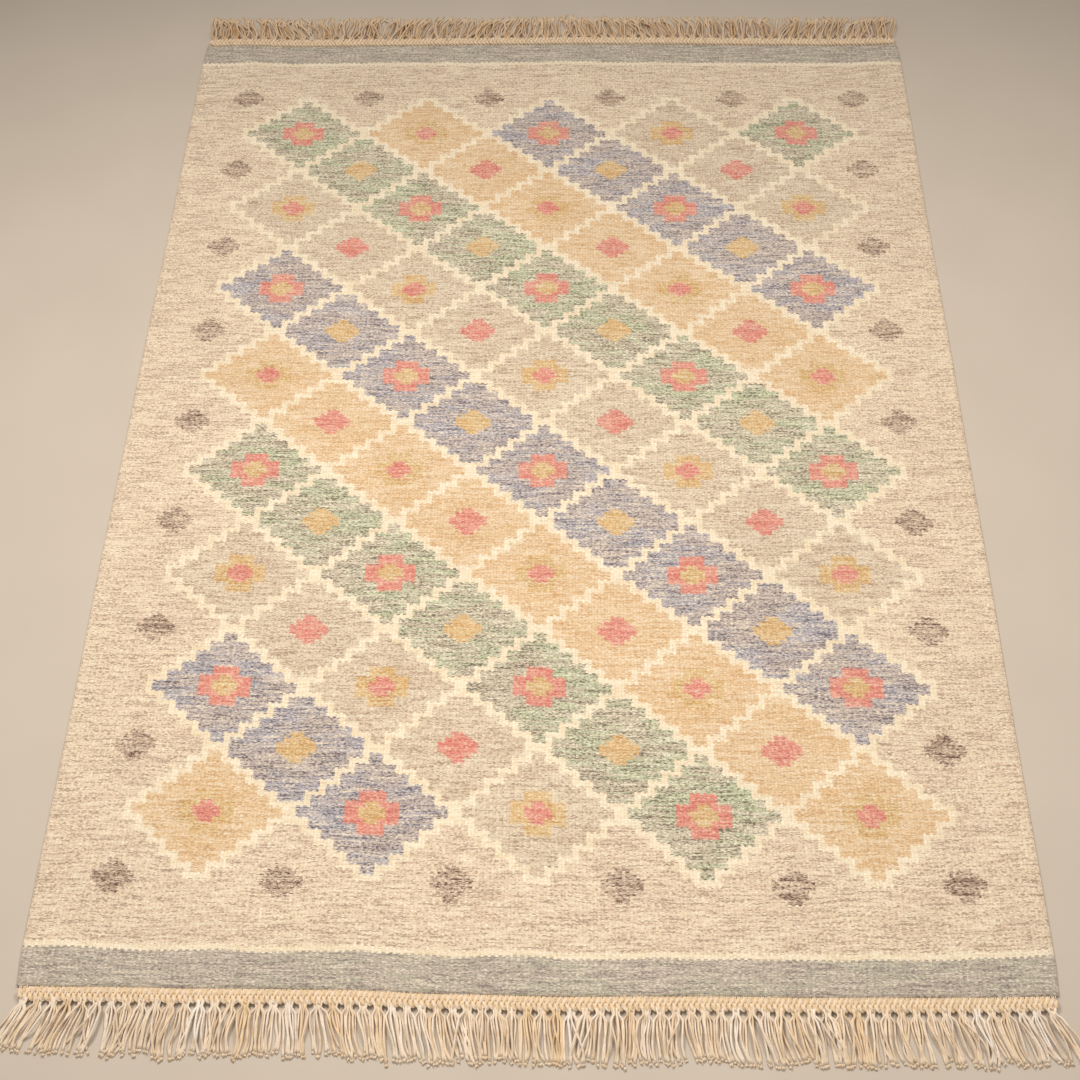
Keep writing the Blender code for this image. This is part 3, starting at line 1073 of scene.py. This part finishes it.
def build_bunch(bundle, middle, end, chance):
    """The cords that leave the plait together at one place."""
    lean = read_table(end["lean"], 2.0 * middle / PLAIT_SPAN)
    lean += chance.gauss(0.0, BUNCH_LEAN_SPREAD)
    bunch_tone = clamp(chance.gauss(BUNCH_TONE, BUNCH_TONE_SPREAD))
    bunch_bend = chance.gauss(0.0, end["curl"])
    tip_spread = chance.choice(TIP_SPREADS)
    bunch_length = FRINGE_LENGTH + chance.gauss(0.0, BUNCH_LENGTH_SPREAD)
    order = list(range(CORDS))
    chance.shuffle(order)
    for cord in range(CORDS):
        layer = 1.0 if order[cord] < RAISED_CORDS else 0.0
        cord_lean = lean + chance.gauss(0.0, CORD_LEAN_SPREAD)
        if chance.random() < end["stray"]:
            cord_lean += chance.choice((-1.0, 1.0)) * chance.uniform(*STRAY_LEAN_RANGE)
            layer = STRAY_LAYER
        length = bunch_length + chance.gauss(0.0, CORD_LENGTH_SPREAD) - FRAY_LENGTH * FRAY_SHORTENING
        bend_near = bunch_bend + chance.gauss(0.0, end["curl"] * NEAR_BEND_SHARE)
        bend_far = chance.gauss(0.0, end["curl"] * FAR_BEND_SHARE)
        bends = (bend_near, bend_far)
        place = place_across(cord, CORDS) + chance.uniform(-CORD_PLACE_SPREAD, CORD_PLACE_SPREAD)
        path = cord_path(middle, place, layer, cord_lean, length, bends, tip_spread, end)
        radius = CORD_RADIUS * chance.uniform(THINNEST, THICKEST)
        widths = [radius * (1.0 + CORD_FLARE * flare) for flare in FLARES]
        heights = [radius * (1.0 - CORD_FLATTEN * flare) for flare in FLARES]
        path = [(x, y, z - CORD_FLATTEN * radius * flare) for (x, y, z), flare in zip(path, FLARES)]
        tips = [CORD_TIP * flare for flare in FLARES]
        tone = clamp(bunch_tone + chance.uniform(-CORD_TONE_SPREAD, CORD_TONE_SPREAD))
        age = clamp(end["age"] + chance.uniform(*CORD_AGE_RANGE))
        bundle.add_tube(path, widths, heights, CORD_SIDES, (tone, tips, age))
        fray_tip(bundle, path, radius, chance, (tone, age))


def build_fringe(name, end, material):
    """All the bunches along one end."""
    chance = random.Random(FRINGE_SEED + end["out"])
    bundle = Bundle()
    for bunch in range(BUNCHES):
        middle = -PLAIT_SPAN / 2 + (bunch + 0.5) * BUNCH_PITCH
        build_bunch(bundle, middle + chance.gauss(0.0, BUNCH_SPREAD), end, chance)
    return bundle.make(name, material)


# The studio.
FLOOR_SIZE = 60.0
FLOOR_COLORS = ((200, 188, 174), (207, 195, 181))
MOTTLE_SIZE = (0.22, 0.22)
FOCAL_LENGTH = 52.5
SENSOR_WIDTH = 36.0
CAMERA_OFFSET = Vector((0.061, -1.9995, 2.532))
CAMERA_YAW = math.radians(-2.17)
CAMERA_PITCH = math.radians(55.94)
CAMERA_ROLL = math.radians(-1.58)
LIGHT_COLOR = (1.0, 0.945, 0.875)
LIGHT_TARGET = (0.0, -1.31, 0.0)
LIGHT_SIZE = 1.1
LIGHT_SPREAD = math.radians(83.0)
ROOM_STRENGTH = 0.40
LIGHTS = (
    # name, place, power
    ("left_light", (-2.0, 1.6, 3.4), 27.0),
    ("right_light", (2.0, 1.6, 3.4), 20.4),
)


def floor_material():
    """A plain matt floor, faintly mottled."""
    g = Nodes("studio_floor")
    place = g.add("ShaderNodeTexCoord")
    split = g.add("ShaderNodeSeparateXYZ", Vector=place.outputs["Object"])
    mottle = g.noise(split.outputs["X"], split.outputs["Y"], MOTTLE_SIZE, detail=4.0)
    first, second = FLOOR_COLORS
    g.feed(g.shader.inputs["Base Color"], g.mix(mottle, linear(first), linear(second)))
    g.shader.inputs["Roughness"].default_value = 0.7
    g.shader.inputs["Specular IOR Level"].default_value = 0.3
    return g.material


def build_floor():
    half = FLOOR_SIZE / 2
    corners = np.array([(-half, -half, 0.0), (half, -half, 0.0), (half, half, 0.0), (-half, half, 0.0)])
    floor = make_object("studio_floor", corners, [[0, 1, 2, 3]], floor_material(), smooth=False)


def add_area(name, place, power):
    """A soft square light that shines on the rug's near end."""
    data = bpy.data.lights.new(name, "AREA")
    data.shape = "SQUARE"
    data.size = LIGHT_SIZE
    data.energy = power
    data.spread = LIGHT_SPREAD
    data.color = LIGHT_COLOR
    light = bpy.data.objects.new(name, data)
    bpy.context.scene.collection.objects.link(light)
    light.location = place
    aim = Vector(LIGHT_TARGET) - Vector(place)
    light.rotation_euler = aim.to_track_quat("-Z", "Y").to_euler()


def build_light():
    """An even pale room and the area lights."""
    world = bpy.data.worlds.new("studio_world")
    world.use_nodes = True
    background = world.node_tree.nodes["Background"]
    background.inputs["Color"].default_value = (*LIGHT_COLOR, 1.0)
    background.inputs["Strength"].default_value = ROOM_STRENGTH
    bpy.context.scene.world = world
    for name, place, power in LIGHTS:
        add_area(name, place, power)


def build_camera():
    """The camera, at the photograph's viewing angle."""
    level = math.cos(CAMERA_PITCH)
    ahead = Vector((math.sin(CAMERA_YAW) * level, math.cos(CAMERA_YAW) * level, -math.sin(CAMERA_PITCH)))
    right = Vector((math.cos(CAMERA_YAW), -math.sin(CAMERA_YAW), 0.0))
    up = right.cross(ahead)
    rolled_right = right * math.cos(CAMERA_ROLL) + up * math.sin(CAMERA_ROLL)
    rolled_up = up * math.cos(CAMERA_ROLL) - right * math.sin(CAMERA_ROLL)
    turn = Matrix((rolled_right, rolled_up, -ahead)).transposed()
    data = bpy.data.cameras.new("camera")
    data.sensor_width = SENSOR_WIDTH
    data.lens = FOCAL_LENGTH
    camera = bpy.data.objects.new("camera", data)
    bpy.context.scene.collection.objects.link(camera)
    camera.matrix_world = Matrix.Translation(MIDDLE + CAMERA_OFFSET) @ turn.to_4x4()
    bpy.context.scene.camera = camera


def build_rug():
    """Every piece of the rug, each riding on the one body in place of its solid."""
    wool = wool_material()
    warp = warp_material()
    rug = build_cloth(wool)
    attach(rug, "root")
    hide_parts("rug_cloth")
    for side, end in ENDS.items():
        plait = build_plait("plait_" + side, end, warp)
        fringe = build_fringe("fringe_" + side, end, warp)
        for piece in (plait, fringe):
            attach(piece, "root")
            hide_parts("plaited_fringe_" + side)


bpy.context.scene.view_settings.view_transform = "Standard"
build_rug()
build_floor()
build_light()
build_camera()
